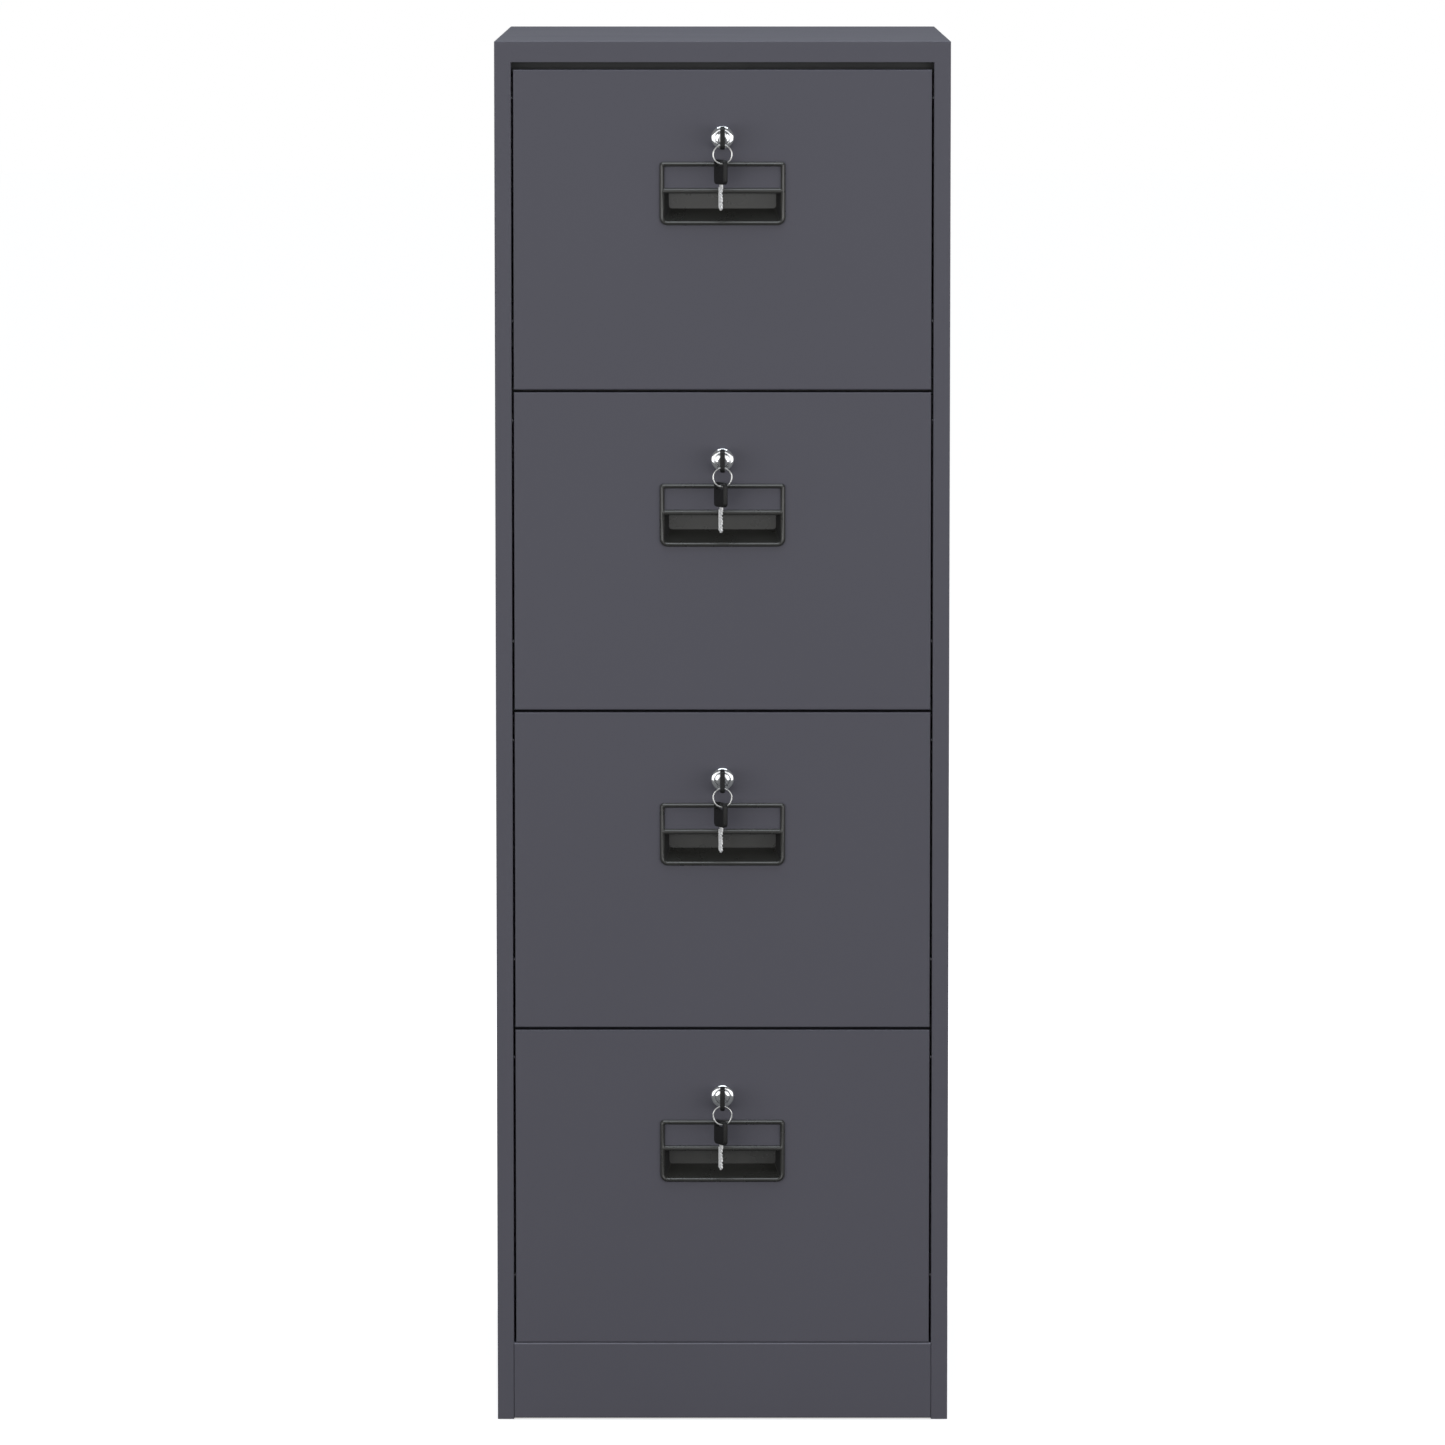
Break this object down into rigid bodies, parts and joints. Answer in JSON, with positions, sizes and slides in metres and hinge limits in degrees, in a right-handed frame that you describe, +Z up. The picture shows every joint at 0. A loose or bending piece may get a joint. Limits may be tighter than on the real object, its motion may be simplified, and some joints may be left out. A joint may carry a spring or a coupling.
{
  "type": "filing cabinet",
  "caption": "Tall metal filing cabinet with full-extension drawers for hanging files, each with a recessed handle, a cam lock and keys.",
  "frame": {"origin": "middle of the footprint, on the floor", "axes": "+Z up, drawers open towards -Y, +X to the right of someone facing the front"},
  "size_m": [0.435, 0.6543, 1.33],
  "materials": {
    "powder_coat": "satin, finely textured powder coat",
    "black_enamel": "satin black enamel on the inner rails",
    "galvanised_steel": "galvanised, matt",
    "zinc_plate": "bright zinc plate",
    "chrome": "polished",
    "nickel": "nickel-plated, satin",
    "black_plastic": "moulded, fine grain",
    "grey_plastic": "moulded, smooth"
  },
  "bodies": {
    "cabinet": {"left_side_panel": "powder_coat", "right_side_panel": "powder_coat", "top_cap": "powder_coat", "back_panel": "powder_coat", "base_tray": "powder_coat", "plinth": "powder_coat", "slide_uprights": "galvanised_steel", "cross_rails": "black_enamel", "lock_strikes": "black_enamel", "slide_outer_members": "zinc_plate", "gap_buffers": "grey_plastic", "carcass_screws": "zinc_plate"},
    "drawer_1": {"drawer_1_front": "powder_coat", "drawer_1_box": "powder_coat", "drawer_1_hanging_rails": "zinc_plate", "drawer_1_handle": "black_plastic", "drawer_1_lock_body": "chrome", "drawer_1_slide_inner": "zinc_plate"},
    "slide_middle_1": {"drawer_1_slide_middle": "zinc_plate"},
    "lock_1": {"drawer_1_lock_plug": "chrome", "drawer_1_lock_cam": "zinc_plate", "drawer_1_key": "black_plastic"},
    "key_ring_1": {"drawer_1_key_ring": "nickel"},
    "spare_key_1": {"drawer_1_spare_key": "black_plastic"},
    "drawer_2": {"drawer_2_front": "powder_coat", "drawer_2_box": "powder_coat", "drawer_2_hanging_rails": "zinc_plate", "drawer_2_handle": "black_plastic", "drawer_2_lock_body": "chrome", "drawer_2_slide_inner": "zinc_plate"},
    "slide_middle_2": {"drawer_2_slide_middle": "zinc_plate"},
    "lock_2": {"drawer_2_lock_plug": "chrome", "drawer_2_lock_cam": "zinc_plate", "drawer_2_key": "black_plastic"},
    "key_ring_2": {"drawer_2_key_ring": "nickel"},
    "spare_key_2": {"drawer_2_spare_key": "black_plastic"},
    "drawer_3": {"drawer_3_front": "powder_coat", "drawer_3_box": "powder_coat", "drawer_3_hanging_rails": "zinc_plate", "drawer_3_handle": "black_plastic", "drawer_3_lock_body": "chrome", "drawer_3_slide_inner": "zinc_plate"},
    "slide_middle_3": {"drawer_3_slide_middle": "zinc_plate"},
    "lock_3": {"drawer_3_lock_plug": "chrome", "drawer_3_lock_cam": "zinc_plate", "drawer_3_key": "black_plastic"},
    "key_ring_3": {"drawer_3_key_ring": "nickel"},
    "spare_key_3": {"drawer_3_spare_key": "black_plastic"},
    "drawer_4": {"drawer_4_front": "powder_coat", "drawer_4_box": "powder_coat", "drawer_4_hanging_rails": "zinc_plate", "drawer_4_handle": "black_plastic", "drawer_4_lock_body": "chrome", "drawer_4_slide_inner": "zinc_plate"},
    "slide_middle_4": {"drawer_4_slide_middle": "zinc_plate"},
    "lock_4": {"drawer_4_lock_plug": "chrome", "drawer_4_lock_cam": "zinc_plate", "drawer_4_key": "black_plastic"},
    "key_ring_4": {"drawer_4_key_ring": "nickel"},
    "spare_key_4": {"drawer_4_spare_key": "black_plastic"}
  },
  "joints": [
    {"name": "drawer_1_slide", "type": "slide", "parent": "cabinet", "child": "drawer_1", "axis": [0, -1, 0], "range_m": [0, 0.55]},
    {"name": "slide_middle_1_slide", "type": "slide", "parent": "cabinet", "child": "slide_middle_1", "axis": [0, -1, 0], "range_m": [0, 0.275]},
    {"name": "lock_1_turn", "type": "hinge", "parent": "drawer_1", "child": "lock_1", "pos_m": [0, -0.3, 1.2384], "axis": [0, 1, 0], "range_deg": [0, 90]},
    {"name": "key_ring_1_swing", "type": "hinge", "parent": "lock_1", "child": "key_ring_1", "pos_m": [0, -0.33472, 1.23235], "axis": [1, 0, 0], "range_deg": [-80, 5]},
    {"name": "spare_key_1_swing", "type": "hinge", "parent": "key_ring_1", "child": "spare_key_1", "pos_m": [0, -0.33472, 1.2144], "axis": [1, 0, 0], "range_deg": [-60, 8]},
    {"name": "drawer_2_slide", "type": "slide", "parent": "cabinet", "child": "drawer_2", "axis": [0, -1, 0], "range_m": [0, 0.55]},
    {"name": "slide_middle_2_slide", "type": "slide", "parent": "cabinet", "child": "slide_middle_2", "axis": [0, -1, 0], "range_m": [0, 0.275]},
    {"name": "lock_2_turn", "type": "hinge", "parent": "drawer_2", "child": "lock_2", "pos_m": [0, -0.3, 0.9309], "axis": [0, 1, 0], "range_deg": [0, 90]},
    {"name": "key_ring_2_swing", "type": "hinge", "parent": "lock_2", "child": "key_ring_2", "pos_m": [0, -0.33472, 0.92485], "axis": [1, 0, 0], "range_deg": [-80, 5]},
    {"name": "spare_key_2_swing", "type": "hinge", "parent": "key_ring_2", "child": "spare_key_2", "pos_m": [0, -0.33472, 0.9069], "axis": [1, 0, 0], "range_deg": [-60, 8]},
    {"name": "drawer_3_slide", "type": "slide", "parent": "cabinet", "child": "drawer_3", "axis": [0, -1, 0], "range_m": [0, 0.55]},
    {"name": "slide_middle_3_slide", "type": "slide", "parent": "cabinet", "child": "slide_middle_3", "axis": [0, -1, 0], "range_m": [0, 0.275]},
    {"name": "lock_3_turn", "type": "hinge", "parent": "drawer_3", "child": "lock_3", "pos_m": [0, -0.3, 0.6234], "axis": [0, 1, 0], "range_deg": [0, 90]},
    {"name": "key_ring_3_swing", "type": "hinge", "parent": "lock_3", "child": "key_ring_3", "pos_m": [0, -0.33472, 0.61735], "axis": [1, 0, 0], "range_deg": [-80, 5]},
    {"name": "spare_key_3_swing", "type": "hinge", "parent": "key_ring_3", "child": "spare_key_3", "pos_m": [0, -0.33472, 0.5994], "axis": [1, 0, 0], "range_deg": [-60, 8]},
    {"name": "drawer_4_slide", "type": "slide", "parent": "cabinet", "child": "drawer_4", "axis": [0, -1, 0], "range_m": [0, 0.55]},
    {"name": "slide_middle_4_slide", "type": "slide", "parent": "cabinet", "child": "slide_middle_4", "axis": [0, -1, 0], "range_m": [0, 0.275]},
    {"name": "lock_4_turn", "type": "hinge", "parent": "drawer_4", "child": "lock_4", "pos_m": [0, -0.3, 0.3159], "axis": [0, 1, 0], "range_deg": [0, 90]},
    {"name": "key_ring_4_swing", "type": "hinge", "parent": "lock_4", "child": "key_ring_4", "pos_m": [0, -0.33472, 0.30985], "axis": [1, 0, 0], "range_deg": [-80, 5]},
    {"name": "spare_key_4_swing", "type": "hinge", "parent": "key_ring_4", "child": "spare_key_4", "pos_m": [0, -0.33472, 0.2919], "axis": [1, 0, 0], "range_deg": [-60, 8]}
  ],
  "couplings": [
    {"joint": "slide_middle_1_slide", "follows": "drawer_1_slide", "ratio": 0.5},
    {"joint": "slide_middle_2_slide", "follows": "drawer_2_slide", "ratio": 0.5},
    {"joint": "slide_middle_3_slide", "follows": "drawer_3_slide", "ratio": 0.5},
    {"joint": "slide_middle_4_slide", "follows": "drawer_4_slide", "ratio": 0.5}
  ]
}
